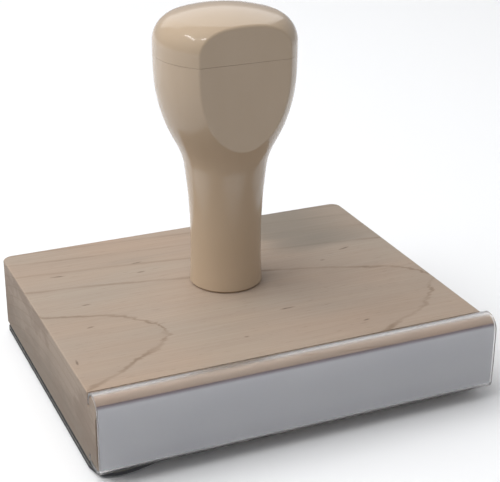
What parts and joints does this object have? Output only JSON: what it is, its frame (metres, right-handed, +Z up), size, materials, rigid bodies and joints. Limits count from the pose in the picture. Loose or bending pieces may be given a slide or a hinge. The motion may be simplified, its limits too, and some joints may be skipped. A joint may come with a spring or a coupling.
{
  "type": "rubber stamp",
  "caption": "Wood-mounted hand stamp: maple moulding block with foam-backed rubber die, moulded knob handle, and a clear clip-on strip over an index card.",
  "frame": {"origin": "middle of the object's footprint at the printing face of the rubber die, which the stamp stands on", "axes": "+X along the front edge and the wood's grain, -Y towards the index strip, +Z up the handle"},
  "size_m": [0.108, 0.0918, 0.0997],
  "materials": {
    "maple": "fine sanded, unfinished",
    "handle_plastic": "glossy injection moulded",
    "screw_steel": "zinc plated",
    "clear_vinyl": "clear glossy extrusion",
    "card": "matt white card",
    "die_rubber": "matt moulded rubber",
    "tape": "matt film",
    "foam": "closed-cell foam"
  },
  "bodies": {
    "block": {"mount_block": "maple", "handle_body": "handle_plastic", "handle_cap": "handle_plastic", "handle_screw": "screw_steel", "screw_washer": "screw_steel", "cushion_tape": "tape", "foam_cushion": "foam", "die_tape": "tape", "rubber_die": "die_rubber"},
    "strip": {"index_strip": "clear_vinyl"},
    "card": {"index_card": "card"}
  },
  "joints": [
    {"name": "strip_slide", "type": "slide", "parent": "block", "child": "strip", "axis": [1, 0, 0], "range_m": [0, 0.115]},
    {"name": "card_slide", "type": "slide", "parent": "strip", "child": "card", "axis": [1, 0, 0], "range_m": [0, 0.112]}
  ]
}
